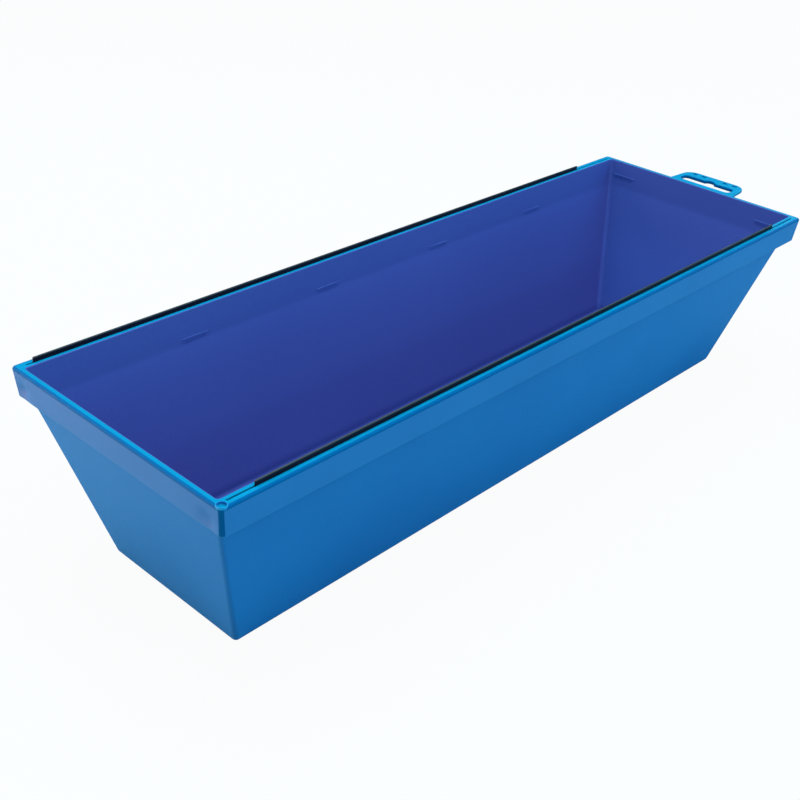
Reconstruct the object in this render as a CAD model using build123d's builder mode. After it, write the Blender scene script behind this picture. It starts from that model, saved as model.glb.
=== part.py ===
"""Mud pan: a moulded plastic trough with a steel scraping blade standing in each long rim.

Frame: millimetres, origin at the centre of the base's underside, +Z up, +X towards the hanging loop.
Pieces: tub, near_blade (on the -Y rim) and far_blade (on the +Y rim).
"""
from build123d import *
import math
import os

# ---- driving dimensions ----
rim_length = 350.8
rim_width = 111.4
rim_height = 77.0
rim_corner_radius = 1.8
rim_edge_radius = 1.0
rim_inner_edge_radius = 0.4

base_length = 307.0
base_width = 68.4
base_corner_radius = 1.6
base_edge_radius = 1.0

skirt_depth = 11.3
skirt_draft = 0.95  # how far the skirt leans in at its lower edge, on each side
skirt_edge_radius = 0.4
under_skirt_length = 344.2  # the wall's outside, where it meets the skirt's underside
under_skirt_width = 101.2
under_skirt_radius = 0.8

wall_thickness = 2.1
floor_thickness = 2.2
floor_radius = 1.5
long_rim_top = 4.85  # width of the rim's top face on the two long sides
short_rim_top = 2.8  # and on the two short sides
cavity_corner_radius = 1.6  # below the kink
mouth_corner_radius = 1.0
band_depth = 12.0  # the steeper band of inner wall below the rim

slot_length = 342.0
slot_width = 0.7
slot_depth = 8.0
slot_from_rim_edge = 2.9  # the slot's centre line, in from the rim's outer edge

blade_thickness = 0.6
blade_stand = 1.9  # how far a blade stands above the rim
blade_floor_gap = 0.05
blade_corner_radius = 0.25
blade_length = 312.0
near_blade_centre = -4.2  # where each blade happens to stand along its slot
far_blade_centre = -12.3

ledge_reach = 0.45  # how far a nesting ledge stands out of the inner wall
ledge_root = 0.5  # how far it is sunk in the wall
ledge_height = 3.0
ledge_taper = 4.0  # how far each end slopes back, from the front to the root
long_ledge_count = 4  # on each long wall
long_ledge_length = 18.5  # at the root
long_ledge_spacing = 68.7
long_ledge_drop = 9.8  # below the rim
short_ledge_length = 19.2
short_ledge_centre = 40.9
short_ledge_drop = 6.3

ring_inset = 2.0  # the ring's centre, in from both edges of its rim corner
ring_radius = 1.9
ring_height = 0.15
recess_radius = 1.5
recess_depth = 0.8

loop_centre = -1.4  # the loop sits a little to one side of the middle
loop_root_width = 35.2
loop_tip_width = 32.4
loop_reach = 15.5
loop_root_depth = 1.5  # how far the plate runs into the rim
loop_thickness = 1.6
loop_corner_radius = 6.0
loop_edge_radius = 0.4
loop_slot_length = 27.6
loop_slot_width = 6.3
loop_slot_inset = 1.7  # the bar between the rim and the slot
loop_slot_corner_radius = 2.0
notch_radius = 2.7
notch_depth = 1.9
dimple_length = 2.8
dimple_width = 1.5
dimple_depth = 0.9
dimple_line = 12.7  # the dimples' line, out from the rim
dimple_places = [-11.2, -6.0, 6.0, 11.2]

# ---- heights and half sizes worked out from the driving dimensions ----
skirt_bottom = rim_height - skirt_depth
kink_height = rim_height - band_depth
slot_floor = rim_height - slot_depth
slot_offset = rim_width / 2 - slot_from_rim_edge
blade_height = slot_depth - blade_floor_gap + blade_stand
ledge_depth = ledge_root + ledge_reach
ledge_end_angle = math.degrees(math.atan2(ledge_depth, ledge_taper))
overlap = 1.0  # how far the sloping body runs up into the skirt


def outer_size(height):
    """Length and width of the sloping walls' outside at a height above the base."""
    share = height / skirt_bottom
    length = base_length + (under_skirt_length - base_length) * share
    width = base_width + (under_skirt_width - base_width) * share
    return length, width


def inner_size(height):
    """Length and width of the cavity at a height above the base."""
    kink_length, kink_width = [side - 2 * wall_thickness for side in outer_size(kink_height)]
    if height <= kink_height:
        length, width = outer_size(height)
        return length - 2 * wall_thickness, width - 2 * wall_thickness
    share = (height - kink_height) / band_depth
    top_length = rim_length - 2 * short_rim_top
    top_width = rim_width - 2 * long_rim_top
    return kink_length + (top_length - kink_length) * share, kink_width + (top_width - kink_width) * share


body_top = skirt_bottom + overlap
skirt_lower_length = rim_length - 2 * skirt_draft
skirt_lower_width = rim_width - 2 * skirt_draft
loop_root = rim_length / 2 - loop_root_depth
loop_tip = rim_length / 2 + loop_reach
loop_slot_near = rim_length / 2 + loop_slot_inset
loop_slot_far = loop_slot_near + loop_slot_width
notch_centre = loop_slot_far + notch_depth - notch_radius
dimple_x = rim_length / 2 + dimple_line
ring_centre = (ring_inset - rim_length / 2, ring_inset - rim_width / 2)

# ---- the space cut out of the tub below the kink, its floor edge rounded ----
with BuildPart() as lower_cavity:
    with BuildSketch(Plane.XY.offset(floor_thickness)):
        RectangleRounded(*inner_size(floor_thickness), cavity_corner_radius)
    with BuildSketch(Plane.XY.offset(kink_height)):
        RectangleRounded(*inner_size(kink_height), cavity_corner_radius)
    loft(ruled=True)
    floor_edges = lower_cavity.faces().sort_by(Axis.Z)[0].edges()
    fillet(floor_edges, floor_radius)

# ---- the flat hanging loop, made apart and then run into the short rim ----
with BuildPart() as hanging_loop:
    with BuildSketch(Plane.XY.offset(rim_height - loop_thickness)) as loop_plan:
        with BuildLine():
            Polyline(
                (loop_root, loop_centre - loop_root_width / 2),
                (loop_tip, loop_centre - loop_tip_width / 2),
                (loop_tip, loop_centre + loop_tip_width / 2),
                (loop_root, loop_centre + loop_root_width / 2),
                close=True,
            )
        make_face()
        fillet(loop_plan.vertices().group_by(Axis.X)[-1], loop_corner_radius)
        with Locations(((loop_slot_near + loop_slot_far) / 2, loop_centre)):
            RectangleRounded(loop_slot_width, loop_slot_length, loop_slot_corner_radius, mode=Mode.SUBTRACT)
        with Locations((notch_centre, loop_centre)):
            Circle(notch_radius, mode=Mode.SUBTRACT)
    extrude(amount=loop_thickness)
    # every edge of the plate's two faces is eased, apart from the ends buried in the rim
    face_edges = hanging_loop.edges().filter_by(Plane.XY)
    fillet(face_edges.sort_by(Axis.X)[2:], loop_edge_radius)
    with BuildSketch(Plane.XY.offset(rim_height)):
        with Locations(*[(dimple_x, loop_centre + place) for place in dimple_places]):
            SlotOverall(dimple_length, dimple_width, rotation=90)
    extrude(amount=-dimple_depth, mode=Mode.SUBTRACT)

# ---- tub: floor, walls, skirt and rim ----
with BuildPart() as tub:
    # sloping body, run a little way up into the skirt
    with BuildSketch(Plane.XY):
        RectangleRounded(base_length, base_width, base_corner_radius)
    with BuildSketch(Plane.XY.offset(body_top)):
        RectangleRounded(*outer_size(body_top), base_corner_radius)
    loft(ruled=True)
    base_edges = tub.faces().sort_by(Axis.Z)[0].edges()
    fillet(base_edges, base_edge_radius)

    # skirt and rim, as one solid band round the top
    with BuildSketch(Plane.XY.offset(skirt_bottom)):
        RectangleRounded(skirt_lower_length, skirt_lower_width, rim_corner_radius)
    with BuildSketch(Plane.XY.offset(rim_height)):
        RectangleRounded(rim_length, rim_width, rim_corner_radius)
    loft(ruled=True)
    rim_top_edges = tub.faces().sort_by(Axis.Z)[-1].edges()
    fillet(rim_top_edges, rim_edge_radius)
    skirt_underside = tub.faces().filter_by(Plane.XY).group_by(Axis.Z)[1][0]
    fillet(skirt_underside.outer_wire().edges(), skirt_edge_radius)
    skirt_underside = tub.faces().filter_by(Plane.XY).group_by(Axis.Z)[1][0]
    fillet(skirt_underside.inner_wires()[0].edges(), under_skirt_radius)

    # cavity: the sloping walls, then the steeper band between the kink and the rim
    add(lower_cavity.part, mode=Mode.SUBTRACT)
    with BuildSketch(Plane.XY.offset(kink_height)):
        RectangleRounded(*inner_size(kink_height), cavity_corner_radius)
    with BuildSketch(Plane.XY.offset(rim_height)):
        RectangleRounded(*inner_size(rim_height), mouth_corner_radius)
    loft(ruled=True, mode=Mode.SUBTRACT)
    rim_face = tub.faces().filter_by(Plane.XY).sort_by(Axis.Z)[-1]
    fillet(rim_face.inner_wires()[0].edges(), rim_inner_edge_radius)

    # nesting ledges on the inner walls, which the next pan in a stack rests on
    long_ledge_top = rim_height - long_ledge_drop
    long_wall = inner_size(long_ledge_top)[1] / 2
    with BuildSketch(Plane.XY.offset(long_ledge_top)):
        for side, turn in ((-1, 0), (1, 180)):
            with Locations((0, side * (long_wall + (ledge_root - ledge_reach) / 2))):
                with GridLocations(long_ledge_spacing, 0, long_ledge_count, 1):
                    Trapezoid(long_ledge_length, ledge_depth, ledge_end_angle, rotation=turn)
    extrude(amount=-ledge_height)
    short_ledge_top = rim_height - short_ledge_drop
    short_wall = inner_size(short_ledge_top)[0] / 2
    with BuildSketch(Plane.XY.offset(short_ledge_top)):
        for side in (-1, 1):
            with Locations((side * (short_wall + (ledge_root - ledge_reach) / 2), 0)):
                with GridLocations(0, 2 * short_ledge_centre, 1, 2):
                    Trapezoid(short_ledge_length, ledge_depth, ledge_end_angle, rotation=side * 90)
    extrude(amount=-ledge_height)

    # blade slots, open upwards and longer than the blades
    with BuildSketch(Plane.XY.offset(slot_floor)):
        with GridLocations(0, 2 * slot_offset, 1, 2):
            Rectangle(slot_length, slot_width)
    extrude(amount=slot_depth, mode=Mode.SUBTRACT)

    # shallow round recess with a fine raised lip, on one corner of the rim
    with BuildSketch(Plane.XY.offset(rim_height - rim_edge_radius)):
        with Locations(ring_centre):
            Circle(ring_radius)
    extrude(amount=rim_edge_radius + ring_height)
    with BuildSketch(Plane.XY.offset(rim_height - recess_depth)):
        with Locations(ring_centre):
            Circle(recess_radius)
    extrude(amount=recess_depth + ring_height, mode=Mode.SUBTRACT)

    add(hanging_loop.part)


def make_blade(centre, side):
    """One straight steel strip, standing on the floor of its slot."""
    with BuildPart() as blade:
        with BuildSketch(Plane.XY.offset(slot_floor + blade_floor_gap)):
            with Locations((centre, side * slot_offset)):
                Rectangle(blade_length, blade_thickness)
        extrude(amount=blade_height)
        fillet(blade.edges().filter_by(Axis.Y), blade_corner_radius)
    return blade


near_blade = make_blade(near_blade_centre, -1)
far_blade = make_blade(far_blade_centre, 1)

# ---- labels and files ----
tub.part.label = "tub"
near_blade.part.label = "near_blade"
far_blade.part.label = "far_blade"

os.makedirs("parts", exist_ok=True)
export_step(tub.part, "parts/tub.step")
export_step(near_blade.part, "parts/near_blade.step")
export_step(far_blade.part, "parts/far_blade.step")
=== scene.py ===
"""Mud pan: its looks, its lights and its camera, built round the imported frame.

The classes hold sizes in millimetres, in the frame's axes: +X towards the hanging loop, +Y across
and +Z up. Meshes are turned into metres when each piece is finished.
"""

import logging
import math
from collections.abc import Sequence
from dataclasses import dataclass
from enum import Enum

import bmesh
import bpy
from mathutils import Matrix, Vector, noise


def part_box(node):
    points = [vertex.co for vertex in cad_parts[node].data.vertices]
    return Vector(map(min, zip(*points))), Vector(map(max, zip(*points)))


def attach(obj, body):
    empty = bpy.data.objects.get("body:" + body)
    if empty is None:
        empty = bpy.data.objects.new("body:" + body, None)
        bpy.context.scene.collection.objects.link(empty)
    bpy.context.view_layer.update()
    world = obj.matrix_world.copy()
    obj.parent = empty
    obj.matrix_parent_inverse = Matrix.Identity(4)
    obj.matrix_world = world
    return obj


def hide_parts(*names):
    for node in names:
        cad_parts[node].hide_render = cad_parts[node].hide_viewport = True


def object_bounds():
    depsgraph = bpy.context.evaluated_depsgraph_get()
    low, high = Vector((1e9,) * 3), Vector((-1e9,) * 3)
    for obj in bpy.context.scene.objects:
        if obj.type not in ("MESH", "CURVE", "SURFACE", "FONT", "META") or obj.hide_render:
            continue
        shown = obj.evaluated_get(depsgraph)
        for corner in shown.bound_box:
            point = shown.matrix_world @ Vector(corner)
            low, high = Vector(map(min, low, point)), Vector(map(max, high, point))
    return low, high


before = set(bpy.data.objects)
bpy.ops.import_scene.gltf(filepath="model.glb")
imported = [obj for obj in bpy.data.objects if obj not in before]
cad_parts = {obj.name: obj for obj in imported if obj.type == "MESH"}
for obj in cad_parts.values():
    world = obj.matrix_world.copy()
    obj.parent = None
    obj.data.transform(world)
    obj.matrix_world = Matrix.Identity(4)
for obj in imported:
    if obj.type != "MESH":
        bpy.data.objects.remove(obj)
cad_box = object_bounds()

MM = 0.001  # metres in a millimetre
WHITE = (1.0, 1.0, 1.0, 1.0)
Tone = tuple[float, float, float]  # red, green and blue
QUARTERS = ((1, 1), (-1, 1), (-1, -1), (1, -1))  # signs of X and Y in each quarter, anticlockwise
CUT_CLEARANCE = 1.0  # how far a cutter runs past the face that it opens, in millimetres
EDGE_POINTINESS = 0.52  # pointiness from which a surface counts as an outward edge
SCRATCH_TOP = 0.85  # noise level above which the skin is always scratched
FLOOR_PAINTED_SHADE = (0.68, 0.72, 0.78)  # painted shade: the cavity's floor is darkened by these factors on its tone
WALL_LEVEL = (1.0, 1.0, 1.0)  # its walls, below the kink, keep their tone
UPPER_PAINTED_SHADE = (0.96, 0.88, 0.90)  # painted shade just below the kink
BAND_PAINTED_SHADE = (0.86, 0.80, 0.82)  # and painted shade above it, on the steeper band
GROUND_HIGHLIGHT_DEPTH = 0.6  # how far down the blades' upper edges are bare from grinding and painted lighter as a highlight, in millimetres
SMOOTH_ANGLE = math.radians(32)  # creases sharper than this stay crisp

log = logging.getLogger("mud_pan")


class Side(Enum):
    """The two long rims: NEAR is the one towards -Y."""

    NEAR = -1
    FAR = 1


class Zone(Enum):
    """Parts of the tub's skin with finishes of their own, in the order of its material slots. Their
    tones are lit and shaded copies of one blue: painted light and shade.
    """

    OUTSIDE = 0  # grained walls
    SKIRT = 1  # the band below the rim, painted paler and greyer as a sheen
    LOWER_EDGE = 2  # the skirt's lower rounding and the corner ring's lip, painted lighter as a highlight
    EDGE = 3  # roundings, cut sides and the skirt's vertical corners, painted darker as shade
    RIM = 4  # flat tops, painted lighter as the light that falls on them; also lines the slots
    INSIDE = 5  # smooth cavity, painted darker and more violet than the outside as shade


class Joining(Enum):
    """How a smaller solid is put together with a larger one."""

    ADD = "UNION"
    CUT = "DIFFERENCE"


# ---------------------------------------------------------------- mesh building


def arc(before: Vector, corner: Vector, after: Vector, radius: float, steps: int) -> list[Vector]:
    """Points of the arc that rounds one corner of an outline in two dimensions.

    Args:
        before: A point on the straight that runs into the corner.
        corner: The sharp corner itself.
        after: A point on the straight that leaves it.
        radius: Radius of the rounding.
        steps: Spans that the arc is divided into.

    Returns:
        steps + 1 points, from the first tangent point to the second.
    """
    inward, outward = (before - corner).normalized(), (after - corner).normalized()
    half = inward.angle(outward) / 2
    centre = corner + (inward + outward).normalized() * (radius / math.sin(half))
    first = corner + inward * (radius / math.tan(half)) - centre
    last = corner + outward * (radius / math.tan(half)) - centre
    sweep = first.angle(last)
    points = []
    for step in range(steps + 1):
        share = step / steps
        weights = math.sin((1 - share) * sweep), math.sin(share * sweep)
        points.append(centre + (first * weights[0] + last * weights[1]) / math.sin(sweep))
    return points


def rounded_rectangle(half_x: float, half_y: float, radius: float, steps: int) -> list[Vector]:
    """Closed outline of a rectangle with round corners, about the origin, anticlockwise.

    Args:
        half_x: Half of its length.
        half_y: Half of its width.
        radius: Radius of its corners.
        steps: Spans in each corner.

    Returns:
        The outline's points in two dimensions.
    """
    points = []
    for quarter, (sign_x, sign_y) in enumerate(QUARTERS):
        centre = Vector((sign_x * (half_x - radius), sign_y * (half_y - radius)))
        for step in range(steps + 1):
            angle = math.pi / 2 * (quarter + step / steps)
            points.append(centre + radius * Vector((math.cos(angle), math.sin(angle))))
    return points


def skin(shape: bmesh.types.BMesh, rings: Sequence[Sequence[Vector]], sides: Zone, caps: Zone) -> None:
    """Adds one closed solid to a mesh, skinned over matching rings and capped at both ends.

    Args:
        shape: The mesh that takes the solid.
        rings: Closed rings of points, each with the same number of points.
        sides: The finish of the skin between the rings.
        caps: The finish of the two ends.
    """
    rows = [[shape.verts.new(point) for point in ring] for ring in rings]
    for row in (rows[0], rows[-1]):
        shape.faces.new(row).material_index = caps.value
    for row, above in zip(rows, rows[1:]):
        for here, following in zip(range(len(row)), [*range(1, len(row)), 0]):
            face = shape.faces.new((row[here], row[following], above[following], above[here]))
            face.material_index = sides.value


def edge_levels(low: float, high: float, rounding: float, steps: int) -> list[tuple[float, float]]:
    """Heights of a plate whose upper and lower edges are rounded, each with the inset of its outline.

    Args:
        low: Height of the plate's underside.
        high: Height of its top.
        rounding: Radius of both edges.
        steps: Spans in each rounding.

    Returns:
        Pairs of height and inset, from the bottom up.
    """
    curve = [math.pi / 2 * step / steps for step in range(steps + 1)]
    lower = [(low + rounding * (1 - math.cos(turn)), rounding * (1 - math.sin(turn))) for turn in curve]
    upper = [(high - rounding * (1 - math.cos(turn)), rounding * (1 - math.sin(turn))) for turn in curve]
    return lower + upper[::-1]


def mesh_object(
    name: str, shape: bmesh.types.BMesh, materials: Sequence[bpy.types.Material]
) -> bpy.types.Object:
    """A new object of a bmesh, its faces turned outwards. The bmesh is used up.

    Args:
        name: The object's name.
        shape: Its geometry.
        materials: Its materials, in the order of its faces' indices.

    Returns:
        The object, linked to the scene.
    """
    bmesh.ops.recalc_face_normals(shape, faces=shape.faces)
    mesh = bpy.data.meshes.new(name)
    shape.to_mesh(mesh)
    shape.free()
    for material in materials:
        mesh.materials.append(material)
    made = bpy.data.objects.new(name, mesh)
    bpy.context.scene.collection.objects.link(made)
    return made


def combine(body: bpy.types.Object, tool: bpy.types.Object, joining: Joining) -> None:
    """Joins a solid to a body or cuts it out of the body, and removes the tool.

    Args:
        body: The object that changes.
        tool: The solid that is joined or cut.
        joining: Whether it is added or cut.
    """
    modifier = body.modifiers.new(joining.name, "BOOLEAN")
    modifier.operation = joining.value
    modifier.solver = "EXACT"
    modifier.object = tool
    bpy.context.view_layer.update()
    graph = bpy.context.evaluated_depsgraph_get()
    changed = bpy.data.meshes.new_from_object(body.evaluated_get(graph))
    body.modifiers.remove(modifier)
    body.data = changed
    bpy.data.objects.remove(tool)


def finish_mesh(piece: bpy.types.Object) -> None:
    """Turns a finished piece from millimetres into metres and shades it smooth between its creases.

    Args:
        piece: The piece, with its mesh in millimetres.
    """
    mesh = piece.data
    mesh.transform(Matrix.Scale(MM, 4))
    mesh.polygons.foreach_set("use_smooth", [True] * len(mesh.polygons))
    mesh.set_sharp_from_angle(angle=SMOOTH_ANGLE)
    weighting = piece.modifiers.new("even_shading", "WEIGHTED_NORMAL")
    weighting.keep_sharp = True


# ---------------------------------------------------------------- finishes


class NodeSheet:
    """A node tree that is filled one node at a time."""

    def __init__(self, tree: bpy.types.NodeTree) -> None:
        """Starts on an empty tree."""
        self.tree = tree
        tree.nodes.clear()

    def add(self, kind: str, inputs: dict | None = None, **settings: object) -> bpy.types.Node:
        """Adds a node.

        Args:
            kind: The node's type, without its ShaderNode or Node prefix for shader nodes.
            inputs: Values or output sockets for its named or numbered inputs.
            **settings: Properties of the node.

        Returns:
            The node.
        """
        node = self.tree.nodes.new(kind if kind.startswith("Node") else "ShaderNode" + kind)
        for name, value in settings.items():
            setattr(node, name, value)
        for name, value in (inputs or {}).items():
            if isinstance(value, bpy.types.NodeSocket):
                self.tree.links.new(value, node.inputs[name])
            else:
                node.inputs[name].default_value = value
        return node

    def effect(self, group: bpy.types.NodeTree, inputs: dict) -> bpy.types.Node:
        """Places a node group with its own values and returns its node."""
        return self.add("Group", inputs, node_tree=group)

    def product(self, first: object, second: object) -> bpy.types.NodeSocket:
        """Multiplies two numbers or sockets and returns the result."""
        return self.add("Math", {0: first, 1: second}, operation="MULTIPLY").outputs[0]

    def spread(
        self, value: object, low: object, high: object, to_low: float = 0.0, to_high: float = 1.0
    ) -> bpy.types.NodeSocket:
        """Maps the range from low to high onto another range and returns the result."""
        inputs = {"Value": value, "From Min": low, "From Max": high, "To Min": to_low, "To Max": to_high}
        return self.add("MapRange", inputs).outputs["Result"]

    def mix(
        self, share: object, first: object, second: object, blend: str = "MIX"
    ) -> bpy.types.NodeSocket:
        """Mixes a share of a second colour into a first and returns the result."""
        inputs = {"Factor": share, "A": first, "B": second}
        return self.add("Mix", inputs, data_type="RGBA", blend_type=blend).outputs["Result"]

    def place(self) -> bpy.types.NodeSocket:
        """Where a point lies on the object, in metres."""
        return self.add("TexCoord").outputs["Object"]

    def height(self) -> bpy.types.NodeSocket:
        """How high a point lies on the object, in metres."""
        return self.add("SeparateXYZ", {0: self.place()}).outputs["Z"]


def new_group(
    name: str, inputs: dict[str, object], outputs: dict[str, str]
) -> tuple[NodeSheet, bpy.types.Node]:
    """Starts a shader node group with named sockets.

    Args:
        name: The group's name.
        inputs: Default value of each input: a number, or four numbers for a colour.
        outputs: Socket type of each output.

    Returns:
        The group's sheet and its input node.
    """
    tree = bpy.data.node_groups.new(name, "ShaderNodeTree")
    for label, value in inputs.items():
        kind = "NodeSocketFloat" if isinstance(value, float) else "NodeSocketColor"
        tree.interface.new_socket(label, in_out="INPUT", socket_type=kind).default_value = value
    for label, kind in outputs.items():
        tree.interface.new_socket(label, in_out="OUTPUT", socket_type=kind)
    sheet = NodeSheet(tree)
    return sheet, sheet.add("NodeGroupInput")


def new_material(name: str) -> tuple[bpy.types.Material, NodeSheet]:
    """Starts a material.

    Args:
        name: The material's name.

    Returns:
        The material and its empty sheet.
    """
    made = bpy.data.materials.new(name)
    made.use_nodes = True
    return made, NodeSheet(made.node_tree)


class Effects:
    """The surface effects that several finishes share, each a node group built once."""

    def __init__(self) -> None:
        """Builds every group."""
        self.grain = self.build_grain()
        self.drift = self.build_drift()
        self.rubbing = self.build_rubbing()
        self.scratches = self.build_scratches()

    @staticmethod
    def build_grain() -> bpy.types.NodeTree:
        """Fine pebbled grain: a height, and a mask of its specks.

        Returns:
            The node group.
        """
        outputs = {"Height": "NodeSocketFloat", "Specks": "NodeSocketFloat"}
        sheet, given = new_group("fine_grain", {"Size": 1000.0}, outputs)
        where = {"Vector": sheet.place(), "Scale": given.outputs["Size"]}
        pebbles = sheet.add("TexVoronoi", {**where, "Smoothness": 0.6}, feature="SMOOTH_F1")
        dusting = sheet.add("TexNoise", {**where, "Detail": 3.0, "Roughness": 0.7}).outputs["Fac"]
        height = sheet.product(pebbles.outputs["Distance"], dusting)
        sheet.add("NodeGroupOutput", {"Height": height, "Specks": sheet.spread(dusting, 0.42, 0.68)})
        return sheet.tree

    @staticmethod
    def build_drift() -> bpy.types.NodeTree:
        """Slow cloudy drift between two tones of one colour.

        Returns:
            The node group.
        """
        inputs = {"Tone": WHITE, "Other Tone": WHITE, "Scale": 12.0, "Amount": 0.5}
        sheet, given = new_group("tone_drift", inputs, {"Colour": "NodeSocketColor"})
        where = {"Vector": sheet.place(), "Scale": given.outputs["Scale"], "Detail": 4.0}
        clouds = sheet.spread(sheet.add("TexNoise", where).outputs["Fac"], 0.3, 0.7)
        share = sheet.product(clouds, given.outputs["Amount"])
        colour = sheet.mix(share, given.outputs["Tone"], given.outputs["Other Tone"])
        sheet.add("NodeGroupOutput", {"Colour": colour})
        return sheet.tree

    @staticmethod
    def build_rubbing() -> bpy.types.NodeTree:
        """A broken mask along outward edges, where a surface is rubbed by handling.

        Returns:
            The node group.
        """
        inputs = {"Width": 0.06, "Breakup": 90.0}
        sheet, given = new_group("edge_rubbing", inputs, {"Mask": "NodeSocketFloat"})
        edge = sheet.add("NewGeometry").outputs["Pointiness"]
        top = sheet.add("Math", {0: EDGE_POINTINESS, 1: given.outputs["Width"]}, operation="ADD")
        ridge = sheet.spread(edge, EDGE_POINTINESS, top.outputs[0])
        where = {"Vector": sheet.place(), "Scale": given.outputs["Breakup"], "Detail": 5.0}
        broken = sheet.spread(sheet.add("TexNoise", where).outputs["Fac"], 0.35, 0.65)
        sheet.add("NodeGroupOutput", {"Mask": sheet.product(ridge, broken)})
        return sheet.tree

    @staticmethod
    def build_scratches() -> bpy.types.NodeTree:
        """Fine straight scratches along X, as a mask.

        Returns:
            The node group.
        """
        inputs = {"Fineness": 2500.0, "Cover": 0.3}
        sheet, given = new_group("fine_scratches", inputs, {"Mask": "NodeSocketFloat"})
        stretched = sheet.add("Mapping", {"Vector": sheet.place(), "Scale": (0.012, 1.0, 1.0)})
        where = {"Vector": stretched.outputs[0], "Scale": given.outputs["Fineness"], "Detail": 2.0}
        lines = sheet.add("TexNoise", where).outputs["Fac"]
        start = sheet.add("Math", {0: SCRATCH_TOP, 1: given.outputs["Cover"]}, operation="SUBTRACT")
        mask = sheet.spread(lines, start.outputs[0], SCRATCH_TOP)
        sheet.add("NodeGroupOutput", {"Mask": mask})
        return sheet.tree


@dataclass(frozen=True)
class PlasticFinish:
    """Moulded polypropylene for one part of the moulding; its tone holds any painted light and shade of
    that part.
    """

    name: str
    tone: Tone
    other_tone: Tone
    roughness: float
    grain_size: float  # grains in a metre
    grain_height: float  # millimetres
    speck_strength: float
    specular: float = 0.4
    specular_tint: Tone = (1.0, 1.0, 1.0)
    levels: tuple[tuple[float, Tone], ...] = ()  # painted shade: factors on the tone, by height in metres
    rub_tone: Tone = (0.03, 0.36, 0.72)
    rub_strength: float = 0.35
    rub_width: float = 0.08
    rub_breakup: float = 120.0  # patches in a metre
    drift_scale: float = 14.0
    drift_amount: float = 0.9
    gloss_spread: tuple[float, float] = (-0.05, 0.08)  # added to the roughness, off and on the specks

    def material(self, effects: Effects) -> bpy.types.Material:
        """Builds the material.

        Args:
            effects: The shared node groups.

        Returns:
            The finished material.
        """
        made, sheet = new_material(self.name)
        grain = sheet.effect(effects.grain, {"Size": self.grain_size})
        tones = {"Tone": (*self.tone, 1), "Other Tone": (*self.other_tone, 1)}
        clouds = {"Scale": self.drift_scale, "Amount": self.drift_amount}
        drift = sheet.effect(effects.drift, {**tones, **clouds})
        rubbing = sheet.effect(effects.rubbing, {"Width": self.rub_width, "Breakup": self.rub_breakup})
        specks = sheet.product(grain.outputs["Specks"], self.speck_strength)
        rubbed = sheet.product(rubbing.outputs["Mask"], self.rub_strength)
        speckled = sheet.mix(specks, drift.outputs["Colour"], (*self.rub_tone, 1))
        colour = sheet.mix(rubbed, speckled, (*self.rub_tone, 1))
        if self.levels:
            colour = self.shade_by_height(sheet, colour)
        roughness = [self.roughness + change for change in self.gloss_spread]
        gloss = sheet.spread(grain.outputs["Specks"], 0.0, 1.0, *roughness)
        height = {"Height": grain.outputs["Height"], "Distance": self.grain_height * MM}
        relief = sheet.add("Bump", {**height, "Strength": 1.0})
        shader = sheet.add(
            "BsdfPrincipled",
            {
                "Base Color": colour,
                "Roughness": gloss,
                "Normal": relief.outputs["Normal"],
                "IOR": 1.49,
                "Specular IOR Level": self.specular,
                "Specular Tint": (*self.specular_tint, 1),
            },
        )
        sheet.add("OutputMaterial", {"Surface": shader.outputs["BSDF"]})
        return made

    def shade_by_height(self, sheet: NodeSheet, colour: bpy.types.NodeSocket) -> bpy.types.NodeSocket:
        """Paints shade by height: multiplies a colour by the finish's levels, each a factor at a height.

        Args:
            sheet: The material's sheet.
            colour: The colour to shade.

        Returns:
            The shaded colour.
        """
        top = self.levels[-1][0]
        ramp = sheet.add("ValToRGB", {"Fac": sheet.spread(sheet.height(), 0.0, top)})
        ramp.color_ramp.interpolation = "EASE"
        stops = ramp.color_ramp.elements
        while len(stops) < len(self.levels):
            stops.new(1.0)
        for stop, (level, factor) in zip(stops, self.levels):
            stop.position = level / top
            stop.color = (*factor, 1)
        return sheet.mix(1.0, colour, ramp.outputs["Color"], "MULTIPLY")


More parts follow.
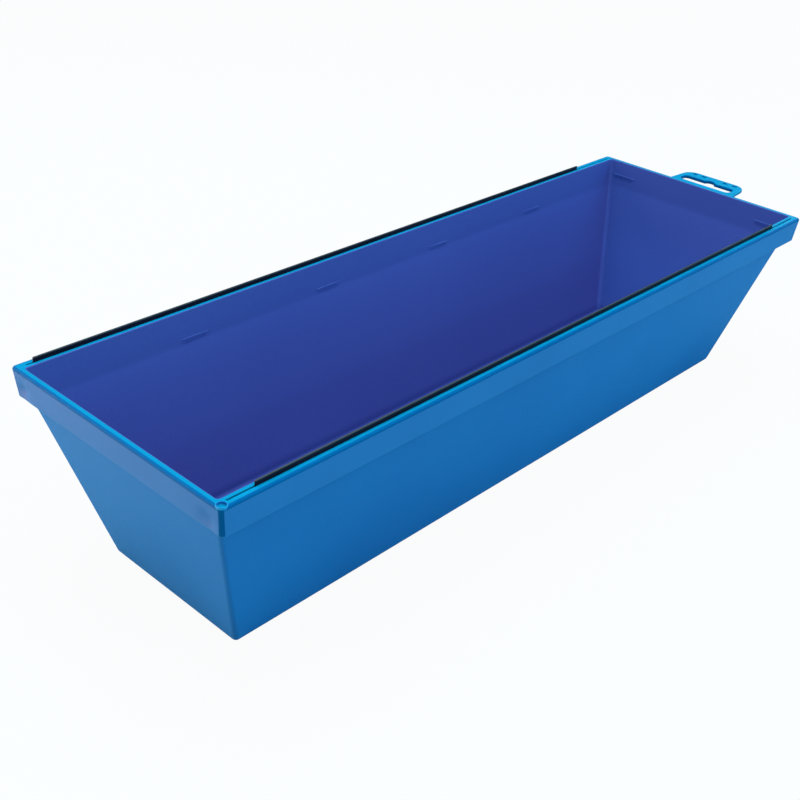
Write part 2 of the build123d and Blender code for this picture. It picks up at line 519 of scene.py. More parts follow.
@dataclass(frozen=True)
class SteelFinish:
    """Blackened strip steel whose upper edge is bare from grinding, ramped brighter towards the top as a
    painted highlight.
    """

    top: float  # height of the strip's upper edge, in metres
    ground_highlight_from: float  # height that the grinding and the painted highlight start at
    name: str = "blackened_steel"
    tone: Tone = (0.006, 0.003, 0.010)
    other_tone: Tone = (0.009, 0.005, 0.015)
    bare_and_highlight_tone: Tone = (0.13, 0.10, 0.11)
    roughness: float = 0.42
    gloss_spread: tuple[float, float] = (-0.08, 0.1)  # added to the roughness, off and on the specks
    specular: float = 0.08
    ground_highlight_share: float = 0.6  # how bare the upper edge is, and so how strong its painted highlight is
    scratch_share: float = 0.06  # how bare a scratch is
    scratch_depth: float = 0.01  # millimetres

    def material(self, effects: Effects) -> bpy.types.Material:
        """Builds the material.

        Args:
            effects: The shared node groups.

        Returns:
            The finished material.
        """
        made, sheet = new_material(self.name)
        tones = {"Tone": (*self.tone, 1), "Other Tone": (*self.other_tone, 1)}
        drift = sheet.effect(effects.drift, {**tones, "Scale": 60.0, "Amount": 1.0})
        scratches = sheet.effect(effects.scratches, {"Fineness": 2600.0, "Cover": 0.3}).outputs["Mask"]
        wear = sheet.product(scratches, self.scratch_share)
        # bare from grinding and painted as a highlight: lighter towards the top edge
        ground_and_highlight = sheet.spread(sheet.height(), self.ground_highlight_from, self.top, 0.0, self.ground_highlight_share)
        bare_and_highlight = sheet.add("Math", {0: wear, 1: ground_and_highlight}, operation="MAXIMUM").outputs[0]
        colour = sheet.mix(bare_and_highlight, drift.outputs["Colour"], (*self.bare_and_highlight_tone, 1))
        grain = sheet.effect(effects.grain, {"Size": 1800.0})
        roughness = [self.roughness + change for change in self.gloss_spread]
        gloss = sheet.spread(grain.outputs["Specks"], 0.0, 1.0, *roughness)
        relief = sheet.add("Bump", {"Height": scratches, "Distance": self.scratch_depth * MM})
        shader = sheet.add(
            "BsdfPrincipled",
            {
                "Base Color": colour,
                "Metallic": bare_and_highlight,
                "Roughness": gloss,
                "Specular IOR Level": self.specular,
                "Normal": relief.outputs["Normal"],
            },
        )
        sheet.add("OutputMaterial", {"Surface": shader.outputs["BSDF"]})
        return made


# ---------------------------------------------------------------- tub


@dataclass(frozen=True)
class Corner:
    """One corner of the tub's wall section, followed from the underside, over the rim, to the floor."""

    half_x: float
    half_y: float
    z: float
    rounding: float  # radius of the section's corner
    plan_radius: float  # radius of the tub's corner in plan at this height
    spans: int  # divisions of the straight that follows
    zone: Zone  # finish of that straight
    turn_zone: Zone  # finish of the rounding itself


@dataclass(frozen=True)
class Station:
    """One ring round the tub."""

    half_x: float
    z_x: float  # height on the short walls
    half_y: float
    z_y: float  # height on the long walls
    plan_radius: float
    zone: Zone  # finish of the skin between this ring and the next


@dataclass(frozen=True)
class SoftMark:
    """A soft hollow, or a swelling where its depth is negative, that the moulding leaves in a wall."""

    place: Vector
    depth: float
    spread: float

    def push(self, point: Vector) -> float:
        """How far the mark moves the skin outwards at a point."""
        return -self.depth * math.exp(-((point - self.place).length / self.spread) ** 2)


@dataclass
class Tub:
    """The one-piece moulding: floor, walls, skirt, slotted rim, nesting ledges and corner ring."""

    rim_length: float = 350.8
    rim_width: float = 111.4
    height: float = 77.0
    rim_plan_radius: float = 1.8
    rim_edge_radius: float = 1.0
    mouth_edge_radius: float = 0.4
    base_length: float = 307.0
    base_width: float = 68.4
    base_plan_radius: float = 1.6
    base_edge_radius: float = 1.0
    skirt_depth: float = 11.3
    skirt_draft: float = 0.95
    skirt_edge_radius: float = 0.4
    under_skirt_length: float = 344.2
    under_skirt_width: float = 101.2
    under_skirt_radius: float = 0.8
    wall: float = 2.1
    floor: float = 2.2
    floor_radius: float = 1.5
    long_rim_top: float = 4.85
    short_rim_top: float = 2.8
    cavity_plan_radius: float = 1.6
    mouth_plan_radius: float = 1.0
    band_depth: float = 12.0
    band_radius: float = 40.0
    flat_margin: float = 20.0  # flat strip of floor and underside that the rings cover
    slot_length: float = 342.0
    slot_width: float = 0.7
    slot_depth: float = 8.0
    slot_inset: float = 2.9
    slot_lip: float = 0.1
    drift: float = 0.10  # slow unevenness of the walls
    drift_span: float = 70.0
    calm_depth: float = 6.0  # the walls grow even over this depth below the rim
    corner_steps: int = 6
    long_steps: int = 72
    short_steps: int = 40
    arc_steps: int = 5
    corner_gap: float = 0.3
    least_plan_radius: float = 0.3
    lip_steps: int = 3
    marks: tuple[SoftMark, ...] = (
        SoftMark(Vector((-174.3, 49.6, 69.6)), 0.95, 2.6),
        SoftMark(Vector((-174.3, -48.2, 69.6)), 0.90, 2.8),
        SoftMark(Vector((-174.3, -49.5, 67.0)), 0.30, 2.2),
    )

    def cavity_half(self, z: float) -> tuple[float, float]:
        """Half sizes of the cavity at a height, up to the kink where its steeper band begins.

        Args:
            z: Height above the base's underside.

        Returns:
            Half of its length and half of its width.
        """
        share = z / (self.height - self.skirt_depth)
        length = self.base_length + (self.under_skirt_length - self.base_length) * share
        width = self.base_width + (self.under_skirt_width - self.base_width) * share
        return length / 2 - self.wall, width / 2 - self.wall

    def kink_half(self) -> tuple[float, float]:
        """Half sizes of the cavity at its kink."""
        return self.cavity_half(self.height - self.band_depth)

    def mouth_half(self) -> tuple[float, float]:
        """Half sizes of the cavity at its mouth."""
        return self.rim_length / 2 - self.short_rim_top, self.rim_width / 2 - self.long_rim_top

    def corners(self) -> list[Corner]:
        """Lists the wall section's corners.

        Returns:
            The corners, from the underside, over the rim, to the floor.
        """
        base_x, base_y = self.base_length / 2, self.base_width / 2
        under_x, under_y = self.under_skirt_length / 2, self.under_skirt_width / 2
        rim_x, rim_y = self.rim_length / 2, self.rim_width / 2
        mouth, kink = self.mouth_half(), self.kink_half()
        floor_x, floor_y = self.cavity_half(self.floor)
        skirt_z, kink_z = self.height - self.skirt_depth, self.height - self.band_depth
        top, margin, draft = self.height, self.flat_margin, self.skirt_draft
        base_r, rim_r, inner_r = self.base_plan_radius, self.rim_plan_radius, self.cavity_plan_radius
        outside, skirt, lower, edge, rim, inside = Zone
        return [
            Corner(base_x - margin, base_y - margin, 0, 0, base_r, 3, outside, outside),
            Corner(base_x, base_y, 0, self.base_edge_radius, base_r, 22, outside, outside),
            Corner(under_x, under_y, skirt_z, self.under_skirt_radius, base_r, 2, outside, outside),
            Corner(
                rim_x - draft, rim_y - draft, skirt_z, self.skirt_edge_radius, rim_r, 8, skirt, lower
            ),
            Corner(rim_x, rim_y, top, self.rim_edge_radius, rim_r, 3, rim, edge),
            Corner(*mouth, top, self.mouth_edge_radius, self.mouth_plan_radius, 5, inside, inside),
            Corner(*kink, kink_z, self.band_radius, inner_r, 18, inside, inside),
            Corner(floor_x, floor_y, self.floor, self.floor_radius, inner_r, 3, inside, inside),
            Corner(floor_x - margin, floor_y - margin, self.floor, 0, inner_r, 1, inside, inside),
        ]

    def stations(self) -> list[Station]:
        """Works out every ring of the skin, with the roundings on both pairs of walls.

        Returns:
            The rings, in order.
        """
        corners = self.corners()
        sections = []
        for axis in ("half_x", "half_y"):
            points = [Vector((getattr(corner, axis), corner.z)) for corner in corners]
            rounded = [[points[0]]]
            for before, here, after, corner in zip(points, points[1:], points[2:], corners[1:]):
                rounded.append(arc(before, here, after, corner.rounding, self.arc_steps))
            sections.append(rounded + [[points[-1]]])
        found: list[Station] = []
        for index, corner in enumerate(corners):
            turn = list(zip(sections[0][index], sections[1][index]))
            for number, (point_x, point_y) in enumerate(turn):
                radius = self.plan_radius(corner, point_x, point_y)
                zone = corner.zone if number == len(turn) - 1 else corner.turn_zone
                found.append(Station(point_x.x, point_x.y, point_y.x, point_y.y, radius, zone))
            if index + 1 < len(corners):
                ends = [section[index + 1][0] for section in sections]
                found += self.between(found[-1], ends, corners[index + 1], corner)
        return found

    def plan_radius(self, corner: Corner, point_x: Vector, point_y: Vector) -> float:
        """The tub's corner radius in plan where a rounding passes a point on each pair of walls."""
        growth = (point_x.x - corner.half_x + point_y.x - corner.half_y) / 2
        return max(corner.plan_radius + growth, self.least_plan_radius)

    def between(
        self, last: Station, ends: list[Vector], following: Corner, corner: Corner
    ) -> list[Station]:
        """Rings along one straight of the section.

        Args:
            last: The ring that the straight starts from.
            ends: Where it ends, on the short and on the long walls.
            following: The corner that it runs to.
            corner: The corner that it starts from.

        Returns:
            The rings between the two, both left out.
        """
        end_radius = self.plan_radius(following, *ends)
        rings = []
        for step in range(1, corner.spans):
            share_x = share_y = step / corner.spans
            if corner.zone is Zone.RIM:  # its two rings are the slot's outer and inner edges
                share_y = self.rim_share(last.half_y, ends[1].x, 1 if step == 1 else -1)
            rings.append(
                Station(
                    last.half_x + (ends[0].x - last.half_x) * share_x,
                    last.z_x + (ends[0].y - last.z_x) * share_x,
                    last.half_y + (ends[1].x - last.half_y) * share_y,
                    last.z_y + (ends[1].y - last.z_y) * share_y,
                    last.plan_radius + (end_radius - last.plan_radius) * share_x,
                    corner.zone,
                )
            )
        return rings

    def slot_centre(self) -> float:
        """Distance of each slot's centre line from the tub's middle."""
        return self.rim_width / 2 - self.slot_inset

    def rim_share(self, start: float, end: float, edge: int) -> float:
        """How far across the long rim a slot's outer edge (1) or inner edge (-1) lies."""
        place = self.slot_centre() + edge * (self.slot_width / 2 + self.slot_lip)
        return (place - start) / (end - start)

    def ring(self, station: Station) -> list[Vector]:
        """Points of one ring, anticlockwise from the +X +Y corner.

        Args:
            station: The ring's sizes and heights.

        Returns:
            The ring's points.
        """
        reach_x, reach_y = station.half_x - station.plan_radius, station.half_y - station.plan_radius
        points = []
        for quarter, (sign_x, sign_y) in enumerate(QUARTERS):
            for step in range(self.corner_steps + 1):
                angle = math.pi / 2 * (quarter + step / self.corner_steps)
                share = math.sin(angle) ** 2
                x = sign_x * reach_x + station.plan_radius * math.cos(angle)
                y = sign_y * reach_y + station.plan_radius * math.sin(angle)
                points.append(Vector((x, y, station.z_x * (1 - share) + station.z_y * share)))
            if quarter % 2 == 0:
                end = min(self.slot_length / 2, reach_x - self.corner_gap)
                for step in range(self.long_steps + 1):
                    along = sign_x * end * (1 - 2 * step / self.long_steps)
                    point = Vector((along, sign_y * station.half_y, station.z_y))
                    point.y += sign_y * self.unevenness(point, along / end)
                    points.append(point)
            else:
                end = reach_y - self.corner_gap
                for step in range(self.short_steps + 1):  # finer near the corners
                    along = sign_y * end * math.cos(math.pi * step / self.short_steps)
                    point = Vector((sign_x * station.half_x, along, station.z_x))
                    point.x += sign_x * self.unevenness(point, along / end)
                    points.append(point)
        return points

    def unevenness(self, point: Vector, along: float) -> float:
        """Works out how far the skin stands out at a point of a wall.

        Args:
            point: The point on the even wall.
            along: Where it lies between the wall's corners, from -1 to 1.

        Returns:
            The distance, outwards.
        """
        depth = min(max((self.height - point.z) / self.calm_depth, 0), 1)
        fade = depth * depth * (3 - 2 * depth)
        wave = noise.noise(point / self.drift_span) * self.drift * (1 - along**4)
        return fade * (wave + sum(mark.push(point) for mark in self.marks))

    def build_shell(self) -> bmesh.types.BMesh:
        """Builds the tub's skin with its two blade slots.

        Returns:
            The closed mesh, in millimetres.
        """
        shape = bmesh.new()
        stations = self.stations()
        slot_row = next(i for i, station in enumerate(stations) if station.zone is Zone.RIM) + 1
        rows = [[shape.verts.new(point) for point in self.ring(station)] for station in stations]
        count = len(rows[0])
        first_span = self.corner_steps + 1
        long_corner = first_span + self.long_steps + 1
        half_turn = long_corner + self.corner_steps + 1 + self.short_steps + 1
        corner_spans = {
            start + step
            for start in (0, long_corner, half_turn, half_turn + long_corner)
            for step in range(1, self.corner_steps - 1)
        }
        second_span = first_span + half_turn
        slot_starts = (first_span, second_span)
        slot_spans = {start + step for start in slot_starts for step in range(self.long_steps)}
        for index, (row, following, station) in enumerate(zip(rows, rows[1:], stations)):
            for here in range(count):
                if index == slot_row and here in slot_spans:
                    continue
                beside = (here + 1) % count
                face = shape.faces.new((row[here], row[beside], following[beside], following[here]))
                face.material_index = station.zone.value
                # painted shade: the skirt's vertical corners take the darker edge tone
                if here in corner_spans and station.zone is Zone.SKIRT:
                    face.material_index = Zone.EDGE.value
        shape.faces.new(rows[0]).material_index = Zone.OUTSIDE.value
        shape.faces.new(rows[-1]).material_index = Zone.INSIDE.value
        for start, side in zip(slot_starts, (Side.FAR, Side.NEAR)):
            spans = slice(start, start + self.long_steps + 1)
            self.line_slot(shape, rows[slot_row][spans], rows[slot_row + 1][spans], side)
        return shape

    def line_slot(self, shape: bmesh.types.BMesh, outer: list, inner: list, side: Side) -> None:
        """Lines one blade slot, from its outer lip, over its floor, to its inner lip.

        Args:
            shape: The tub's mesh.
            outer: Vertices along the slot's outer lip.
            inner: Vertices along its inner lip.
            side: The rim that it is in.
        """
        half, top, lip = self.slot_width / 2, self.height, self.slot_lip
        turns = [math.pi / 2 * step / self.lip_steps for step in range(1, self.lip_steps + 1)]
        profile = [
            (half + lip * (1 - math.sin(turn)), top - lip * (1 - math.cos(turn))) for turn in turns
        ]
        profile.append((half, top - self.slot_depth))
        profile += [(-offset, z) for offset, z in reversed(profile)]
        rows = [outer]
        for offset, z in profile:
            y = side.value * (self.slot_centre() + offset)
            rows.append([shape.verts.new((vertex.co.x, y, z)) for vertex in outer])
        rows.append(inner)
        for row, following in zip(rows, rows[1:]):
            for here in range(len(row) - 1):
                face = shape.faces.new((row[here], row[here + 1], following[here + 1], following[here]))
                face.material_index = Zone.RIM.value
        for end in (0, -1):
            shape.faces.new([row[end] for row in rows]).material_index = Zone.RIM.value


@dataclass
class NestingLedges:
    """Small steps on the inner walls, which the next pan in a stack rests on."""

    reach: float = 0.45
    root: float = 0.5
    height: float = 3.0
    taper: float = 4.0  # how far each end slopes back, from the front to the root
    rounding: float = 0.15
    rounding_steps: int = 2
    front_radius: float = 2.0
    front_steps: int = 3
    long_count: int = 4
    long_length: float = 18.5
    long_spacing: float = 68.7
    long_drop: float = 9.8
    short_length: float = 19.2
    short_centre: float = 40.9
    short_drop: float = 6.3

    def wall(self, tub: Tub, drop: float) -> tuple[float, float]:
        """Works out the cavity's size within its upper band.

        Args:
            tub: The tub.
            drop: Depth below the rim.

        Returns:
            Half of its length and half of its width.
        """
        (kink_x, kink_y), (mouth_x, mouth_y) = tub.kink_half(), tub.mouth_half()
        share = 1 - drop / tub.band_depth
        return kink_x + (mouth_x - kink_x) * share, kink_y + (mouth_y - kink_y) * share

    def add_to(self, shape: bmesh.types.BMesh, tub: Tub) -> None:
        """Adds every ledge to a mesh of solids.

        Args:
            shape: The mesh of solids.
            tub: The tub whose walls they stand on.
        """
        wall_x, wall_y = self.wall(tub, self.short_drop)[0], self.wall(tub, self.long_drop)[1]
        for sign in (-1, 1):
            for number in range(self.long_count):
                along = (number - (self.long_count - 1) / 2) * self.long_spacing
                foot = Vector((along, sign * wall_y, tub.height - self.long_drop))
                self.add_ledge(shape, foot, Vector((0, -sign, 0)), self.long_length)
            for other in (-1, 1):
                foot = Vector((sign * wall_x, other * self.short_centre, tub.height - self.short_drop))
                self.add_ledge(shape, foot, Vector((-sign, 0, 0)), self.short_length)

    def add_ledge(self, shape: bmesh.types.BMesh, foot: Vector, out: Vector, length: float) -> None:
        """Adds one ledge.

        Args:
            shape: The mesh of solids.
            foot: The middle of its upper edge, on the wall.
            out: The direction in which it stands out of the wall.
            length: Its length at the root.
        """
        sideways = Vector((-out.y, out.x, 0))
        rings = []
        for z, inset in edge_levels(foot.z - self.height, foot.z, self.rounding, self.rounding_steps):
            front, half = self.reach - inset, length / 2
            low_root, high_root = Vector((-half, -self.root)), Vector((half, -self.root))
            low, high = Vector((self.taper - half, front)), Vector((half - self.taper, front))
            outline = [low_root, *arc(low_root, low, high, self.front_radius, self.front_steps)]
            outline += [*arc(low, high, high_root, self.front_radius, self.front_steps), high_root]
            ring = [foot + sideways * point.x + out * point.y for point in outline]
            rings.append([Vector((*point.xy, z)) for point in ring])
        skin(shape, rings, Zone.INSIDE, Zone.INSIDE)


@dataclass
class CornerRing:
    """A small round recess with a fine raised lip, on one corner of the rim."""

    inset: float = 2.0
    radius: float = 1.9
    lip_height: float = 0.15
    lip_rounding: float = 0.12
    recess_radius: float = 1.5
    recess_depth: float = 0.8
    root: float = 1.6
    steps: int = 40
    lip_steps: int = 3

    def circle(self, tub: Tub, radius: float, z: float) -> list[Vector]:
        """A ring of points about the recess's axis.

        Args:
            tub: The tub whose corner it is on.
            radius: The ring's radius.
            z: Its height.

        Returns:
            The points.
        """
        x, y = self.inset - tub.rim_length / 2, self.inset - tub.rim_width / 2
        turns = [math.tau * step / self.steps for step in range(self.steps)]
        return [Vector((x + radius * math.cos(turn), y + radius * math.sin(turn), z)) for turn in turns]

    def add_boss(self, shape: bmesh.types.BMesh, tub: Tub) -> None:
        """Adds the solid that the lip is left from.

        Args:
            shape: The mesh of solids.
            tub: The tub that takes it.
        """
        top = tub.height + self.lip_height
        levels = edge_levels(top - self.root, top, self.lip_rounding, self.lip_steps)
        rings = [self.circle(tub, self.radius - inset, z) for z, inset in levels]
        # the lip's sides take the painted highlight tone, its top the rim's painted light
        skin(shape, rings, Zone.LOWER_EDGE, Zone.RIM)

    def add_recess(self, shape: bmesh.types.BMesh, tub: Tub) -> None:
        """Adds the cutter of the recess, whose mouth is eased.

        Args:
            shape: The mesh of cutters.
            tub: The tub that it cuts.
        """
        top, ease = tub.height + self.lip_height, self.lip_rounding
        bottom = tub.height - self.recess_depth
        profile = [(-ease, bottom), (0, bottom + ease), (0, top - ease), (ease, top)]
        profile.append((ease, top + CUT_CLEARANCE))
        rings = [self.circle(tub, self.recess_radius + grow, z) for grow, z in profile]
        skin(shape, rings, Zone.OUTSIDE, Zone.RIM)


@dataclass
class HangingLoop:
    """The flat plate with a slot that stands out of one short rim."""

    centre: float = -1.4
    root_width: float = 35.2
    tip_width: float = 32.4
    reach: float = 15.5
    root_depth: float = 1.5
    thickness: float = 1.6
    tip_radius: float = 6.0
    edge_radius: float = 0.4
    slot_length: float = 27.6
    slot_width: float = 6.3
    slot_inset: float = 1.7
    slot_radius: float = 2.0
    notch_radius: float = 2.7
    notch_depth: float = 1.9
    dimple_length: float = 2.8
    dimple_width: float = 1.5
    dimple_depth: float = 0.9
    dimple_line: float = 12.7
    dimple_places: tuple[float, ...] = (-11.2, -6.0, 6.0, 11.2)
    # shares of the dimples' depth, each with the inset of the outline there
    dimple_bowl: tuple[tuple[float, float], ...] = ((0.0, 0.0), (0.6, 0.12), (1.0, 0.35))
    dimple_flat: float = 0.01  # left between the rounded ends, so that no points coincide
    tip_steps: int = 12
    edge_steps: int = 3

    def plate_outline(self, tub: Tub, inset: float) -> list[Vector]:
        """The plate's outline in plan.

        Args:
            tub: The tub that it stands out of.
            inset: How far the outline is drawn in.

        Returns:
            The outline's points.
        """
        root, tip = tub.rim_length / 2 - self.root_depth, tub.rim_length / 2 + self.reach - inset
        root_half, tip_half = self.root_width / 2 - inset, self.tip_width / 2 - inset
        low_root, high_root = (Vector((root, self.centre + side * root_half)) for side in (-1, 1))
        low_tip, high_tip = (Vector((tip, self.centre + side * tip_half)) for side in (-1, 1))
        radius = self.tip_radius - inset
        lower = arc(low_root, low_tip, high_tip, radius, self.tip_steps)
        upper = arc(low_tip, high_tip, high_root, radius, self.tip_steps)
        return [low_root, *lower, *upper, high_root]

    def slot_outline(self, tub: Tub, grow: float) -> list[Vector]:
        """The slot's outline in plan, with the round notch in its outer side.

        Args:
            tub: The tub that the loop stands out of.
            grow: How far the outline is let out.

        Returns:
            The outline's points.
        """
        near = tub.rim_length / 2 + self.slot_inset - grow
        far = near + self.slot_width + 2 * grow
        half, radius = self.slot_length / 2 + grow, self.slot_radius + grow
        corners = [Vector(ends) for ends in ((far, half), (near, half), (near, -half), (far, -half))]
        notch_centre = far - grow + self.notch_depth - self.notch_radius
        notch_radius = self.notch_radius + grow
        opening = math.acos((far - notch_centre) / notch_radius)
        points = []
        neighbours = zip([corners[-1], *corners], corners, [*corners[1:], corners[0]])
        for before, corner, after in neighbours:
            points += arc(before, corner, after, radius, self.edge_steps + 1)
        for step in range(self.tip_steps + 1):
            turn = opening * (2 * step / self.tip_steps - 1)
            across, along = notch_radius * math.cos(turn), notch_radius * math.sin(turn)
            points.append(Vector((notch_centre + across, along)))
        return [point + Vector((0, self.centre)) for point in points]

    def add_plate(self, shape: bmesh.types.BMesh, tub: Tub) -> None:
        """Adds the solid plate, its edges eased.

        Args:
            shape: The mesh of solids.
            tub: The tub that takes it.
        """
        levels = edge_levels(tub.height - self.thickness, tub.height, self.edge_radius, self.edge_steps)
        rings = [
            [Vector((*point, z)) for point in self.plate_outline(tub, inset)] for z, inset in levels
        ]
        # the plate takes the rim's painted light on all its faces
        skin(shape, rings, Zone.RIM, Zone.RIM)

    def add_openings(self, shape: bmesh.types.BMesh, tub: Tub) -> None:
        """Adds the cutters of the slot, which flares at both faces, and of the shallow dimples.

        Args:
            shape: The mesh of cutters.
            tub: The tub that the loop stands out of.
        """
        high, low = tub.height, tub.height - self.thickness
        levels = edge_levels(low, high, self.edge_radius, self.edge_steps)
        radius = self.edge_radius
        flare = [(low - CUT_CLEARANCE, radius), *levels, (high + CUT_CLEARANCE, radius)]
        rings = [[Vector((*point, z)) for point in self.slot_outline(tub, grow)] for z, grow in flare]
        # the slot's walls take the painted shade of the edges
        skin(shape, rings, Zone.EDGE, Zone.EDGE)
        x = tub.rim_length / 2 + self.dimple_line
        half_x, half_y = self.dimple_width / 2, self.dimple_length / 2
        bowl = [(high + CUT_CLEARANCE, 0.0)]
        bowl += [(high - share * self.dimple_depth, inset) for share, inset in self.dimple_bowl]
        for place in self.dimple_places:
            rings = []
            for z, inset in bowl:
                half_across, half_along = half_x - inset, half_y - inset
                end_radius = half_across - self.dimple_flat
                outline = rounded_rectangle(half_across, half_along, end_radius, self.edge_steps + 1)
                middle = self.centre + place
                rings.append([Vector((x + point.x, middle + point.y, z)) for point in outline])
            # as do the dimples' walls
            skin(shape, rings, Zone.EDGE, Zone.EDGE)


@dataclass
class Moulding:
    """The whole blue moulding as one piece."""

    tub: Tub
    ledges: NestingLedges
    ring: CornerRing
    loop: HangingLoop
    finishes: dict[Zone, bpy.types.Material]

    def build(self) -> bpy.types.Object:
        """Builds the piece, dressed zone by zone, and puts it in the tub's place.

        Returns:
            The piece.
        """
        dress = [self.finishes[zone] for zone in Zone]
        piece = mesh_object("moulded_tub", self.tub.build_shell(), dress)
        added = bmesh.new()
        self.ledges.add_to(added, self.tub)
        self.ring.add_boss(added, self.tub)
        self.loop.add_plate(added, self.tub)
        combine(piece, mesh_object("added", added, dress), Joining.ADD)
        cut = bmesh.new()
        self.ring.add_recess(cut, self.tub)
        self.loop.add_openings(cut, self.tub)
        combine(piece, mesh_object("cut", cut, dress), Joining.CUT)
        finish_mesh(piece)
        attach(piece, "pan")
        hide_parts("tub")
        return piece


@dataclass
class Blade:
    """One straight strip of blackened steel, standing in its slot."""

    node: str
    body: str
    name: str
    finish: bpy.types.Material
    corner_radius: float = 0.25
    edge_rounding: float = 0.08
    steps: int = 4
    edge_steps: int = 2

    def build(self) -> bpy.types.Object:
        """Builds the strip in the place of its CAD node.

        Returns:
            The strip.
        """
        low, high = (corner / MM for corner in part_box(self.node))
        middle, half = (low + high) / 2, (high - low) / 2
        shape = bmesh.new()
        rings = []
        for z, inset in edge_levels(low.z, high.z, self.corner_radius, self.steps):
            side_inset = inset * self.edge_rounding / self.corner_radius
            half_x, half_y = half.x - inset, half.y - side_inset
            outline = rounded_rectangle(half_x, half_y, self.edge_rounding, self.edge_steps)
            rings.append([Vector((middle.x + point.x, middle.y + point.y, z)) for point in outline])
        skin(shape, rings, Zone.OUTSIDE, Zone.OUTSIDE)
        piece = mesh_object(self.name, shape, [self.finish])
        finish_mesh(piece)
        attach(piece, self.body)
        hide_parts(self.node)
        return piece


# ---------------------------------------------------------------- stage


def direction(azimuth: float, elevation: float) -> Vector:
    """The unit vector at an azimuth about +Z from +X and an elevation, both in degrees."""
    turn, rise = math.radians(azimuth), math.radians(elevation)
    return Vector((math.cos(turn) * math.cos(rise), math.sin(turn) * math.cos(rise), math.sin(rise)))


@dataclass(frozen=True)
class SoftBox:
    """One rectangular soft light that faces the pan."""

    name: str
    azimuth: float  # degrees about +Z from +X
    elevation: float
    distance: float
    width: float
    height: float
    power: float
    colour: Tone = (1.0, 1.0, 1.0)

    def place(self, target: Vector) -> None:
        """Adds the light.

        Args:
            target: The point that it is aimed at.
        """
        away = direction(self.azimuth, self.elevation)
        lamp = bpy.data.lights.new(self.name, "AREA")
        lamp.shape = "RECTANGLE"
        lamp.size, lamp.size_y = self.width, self.height
        lamp.energy, lamp.color = self.power, self.colour
        held = bpy.data.objects.new(self.name, lamp)
        held.location = target + away * self.distance
        held.rotation_mode = "QUATERNION"
        held.rotation_quaternion = away.to_track_quat("Z", "Y")
        bpy.context.scene.collection.objects.link(held)


@dataclass(frozen=True)
class Viewpoint:
    """The camera, placed by the way that it looks at a point on the floor."""

    azimuth: float = -138.4277
    elevation: float = 30.4671
    roll: float = 3.7419
    distance: float = 0.54522
    target: tuple[float, float, float] = (0.005730, 0.039981, 0.0)
    lens: float = 53.228

    def place(self) -> None:
        """Adds the camera and makes it the scene's."""
        turn, roll = math.radians(self.azimuth), math.radians(self.roll)
        back = direction(self.azimuth, self.elevation)
        right = Vector((-math.sin(turn), math.cos(turn), 0))
        up = back.cross(right)
        rolled_right = right * math.cos(roll) + up * math.sin(roll)
        rolled_up = up * math.cos(roll) - right * math.sin(roll)
        camera = bpy.data.objects.new("camera", bpy.data.cameras.new("camera"))
        camera.data.lens = self.lens
        camera.data.clip_start, camera.data.clip_end = 0.01, 50
        rotation = Matrix((rolled_right, rolled_up, back)).transposed().to_4x4()
        place = Matrix.Translation(Vector(self.target) + back * self.distance)
        camera.matrix_world = place @ rotation
        bpy.context.scene.collection.objects.link(camera)
        bpy.context.scene.camera = camera


@dataclass
class Stage:
    """The pale floor, the lights and the camera."""

    floor_size: float = 12.0
    floor_drop: float = 0.00002  # how far the floor lies below the base
    floor_tone: Tone = (0.30, 0.40, 0.42)
    evenness: float = 0.95  # how far the seen floor is evened out towards white
    world_strength: float = 0.2
    world_tone: Tone = (0.45, 0.9, 1.0)
    lights: tuple[SoftBox, ...] = (
        SoftBox("overhead", 65, 78, 1.1, 1.0, 1.0, 18.5, (0.60, 0.94, 1.0)),
        SoftBox("end_light", 152, 0.5, 0.65, 0.4, 0.07, 4.8, (1.0, 0.38, 0.28)),
        SoftBox("end_fill", 172, 42, 1.2, 0.5, 0.5, 5, (0.05, 0.95, 1.0)),
        SoftBox("front_fill", -70, 18, 1.3, 0.7, 0.6, 10.5, (0.10, 0.85, 1.0)),
        SoftBox("inner_fill", -98, 55, 1.2, 0.5, 0.5, 6.5, (0.7, 0.8, 0.9)),
        SoftBox("loop_fill", 2, 10, 1.2, 0.6, 0.4, 4, (0.5, 0.9, 1.0)),
        SoftBox("back_fill", 105, 25, 1.4, 0.8, 0.8, 8, (0.85, 0.95, 1.0)),
    )

    def build(self) -> None:
        """Adds everything that isn't part of the object."""
        scene = bpy.context.scene
        scene.view_settings.view_transform = "Standard"
        world = bpy.data.worlds.new("room")
        world.use_nodes = True
        sheet = NodeSheet(world.node_tree)
        path = sheet.add("LightPath")
        strength = sheet.add("Mix", {0: path.outputs["Is Camera Ray"], 2: self.world_strength, 3: 1.0})
        tone = sheet.mix(path.outputs["Is Camera Ray"], (*self.world_tone, 1), WHITE)
        light = sheet.add("Background", {"Color": tone, "Strength": strength.outputs[0]})
        sheet.add("OutputWorld", {"Surface": light.outputs["Background"]})
        scene.world = world
        self.build_floor()
        middle = (cad_box[0] + cad_box[1]) / 2
        for light in self.lights:
            light.place(middle)
        Viewpoint().place()

    def build_floor(self) -> None:
        """Adds the floor, whose material evens it out towards white where the camera sees it."""
        half = self.floor_size / 2
        shape = bmesh.new()
        corners = [shape.verts.new((x * half, y * half, -self.floor_drop)) for x, y in QUARTERS]
        shape.faces.new(corners)
        material, sheet = new_material("pale_floor")
        path = sheet.add("LightPath")
        matt = sheet.add("BsdfDiffuse", {"Color": (*self.floor_tone, 1)})
        even = sheet.add("Emission", {"Color": WHITE, "Strength": 1.0})
        share = sheet.product(path.outputs["Is Camera Ray"], self.evenness)
        mix = sheet.add("MixShader", {0: share, 1: matt.outputs[0], 2: even.outputs[0]})
        sheet.add("OutputMaterial", {"Surface": mix.outputs[0]})
        mesh_object("floor", shape, [material])


# ---------------------------------------------------------------- making


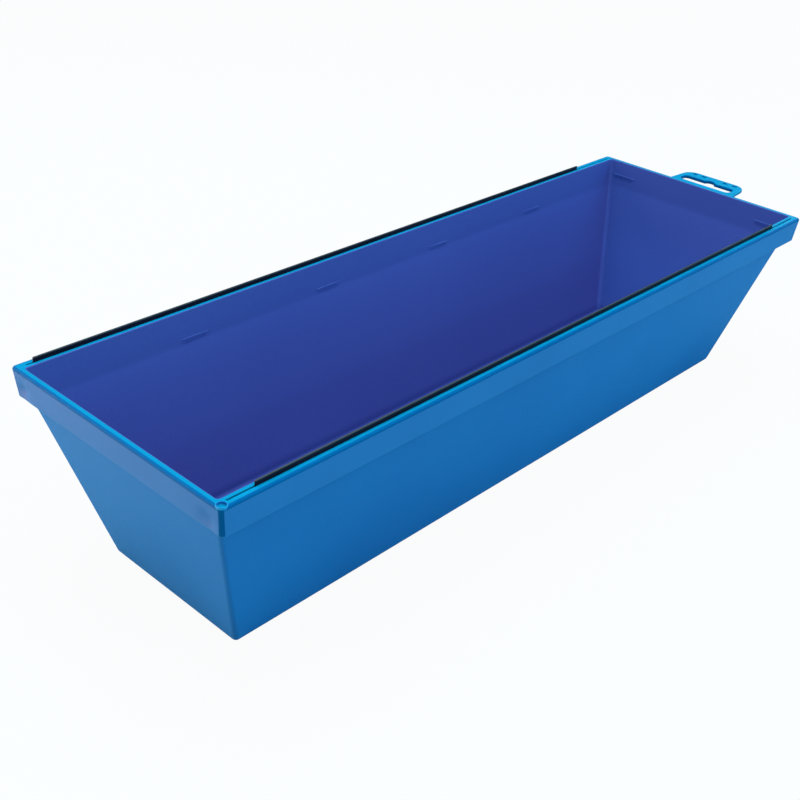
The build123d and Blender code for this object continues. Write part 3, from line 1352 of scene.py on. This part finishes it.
def mould_finishes() -> dict[Zone, PlasticFinish]:
    """Gives the moulding's finishes.

    Returns:
        One finish for each zone of its skin, in the order of its material slots.
    """
    grained = {"grain_size": 1500.0, "grain_height": 0.05, "speck_strength": 0.08, "specular": 0.3}
    polished = {"grain_size": 900.0, "grain_height": 0.01, "speck_strength": 0.02}
    # painted shade: the cavity darkens at its floor and in its band above the kink
    levels = (
        (0.0, FLOOR_PAINTED_SHADE), (0.0035, FLOOR_PAINTED_SHADE), (0.007, WALL_LEVEL), (0.03, WALL_LEVEL),
        (0.055, UPPER_PAINTED_SHADE), (0.0635, UPPER_PAINTED_SHADE), (0.0665, BAND_PAINTED_SHADE), (0.08, BAND_PAINTED_SHADE),
    )
    return {
        Zone.OUTSIDE: PlasticFinish(
            "grained_blue", (0.001, 0.116, 0.355), (0.004, 0.136, 0.39), 0.62, **grained
        ),
        # painted sheen: a paler, greyer copy of the blue for the skirt
        Zone.SKIRT: PlasticFinish(
            "skirt_sheen_blue", (0.010, 0.115, 0.33), (0.014, 0.135, 0.37), 0.6, **grained
        ),
        # painted highlight: a lighter copy of the blue for the lower rounding and the ring's lip
        Zone.LOWER_EDGE: PlasticFinish(
            "lower_edge_highlight_blue", (0.015, 0.22, 0.45), (0.01, 0.19, 0.42), 0.5,
            grain_size=1200.0, grain_height=0.02, speck_strength=0.04, specular=0.15, rub_strength=0.1,
        ),
        # painted shade: a darker copy of the blue for edges and cut sides
        Zone.EDGE: PlasticFinish(
            "edge_shade_blue", (0.0, 0.072, 0.215), (0.0, 0.082, 0.235), 0.45, **polished,
            specular=0.05, specular_tint=(0.1, 0.8, 1.0), rub_strength=0.08,
        ),
        # painted light: a brighter, greener copy of the blue for the lit flat tops
        Zone.RIM: PlasticFinish(
            "lit_rim_blue", (0.0, 0.166, 0.310), (0.0, 0.180, 0.330), 0.5, **polished,
            specular=0.06, specular_tint=(0.1, 0.7, 1.0), rub_tone=(0.0, 0.30, 0.60),
        ),
        # painted shade: the cavity's tone is a darker, more violet copy of the blue
        Zone.INSIDE: PlasticFinish(
            "smooth_shaded_blue", (0.062, 0.070, 0.305), (0.068, 0.076, 0.32), 0.45,
            grain_size=700.0, grain_height=0.006, speck_strength=0.02, specular=0.12, levels=levels,
        ),
    }


def main() -> None:
    """Builds the pan, its two blades and the stage."""
    logging.basicConfig(level=logging.INFO, format="%(message)s")
    effects = Effects()
    finishes = {zone: finish.material(effects) for zone, finish in mould_finishes().items()}
    piece = Moulding(Tub(), NestingLedges(), CornerRing(), HangingLoop(), finishes).build()
    log.info("%s: %d faces", piece.name, len(piece.data.polygons))
    blade_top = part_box("near_blade")[1].z
    steel = SteelFinish(top=blade_top, ground_highlight_from=blade_top - GROUND_HIGHLIGHT_DEPTH * MM).material(effects)
    blades = (
        Blade("near_blade", "near_strip", "near_scraper", steel),
        Blade("far_blade", "far_strip", "far_scraper", steel),
    )
    for blade in blades:
        strip = blade.build()
        log.info("%s: %d faces", strip.name, len(strip.data.polygons))
    Stage().build()


if __name__ == "__main__":
    main()
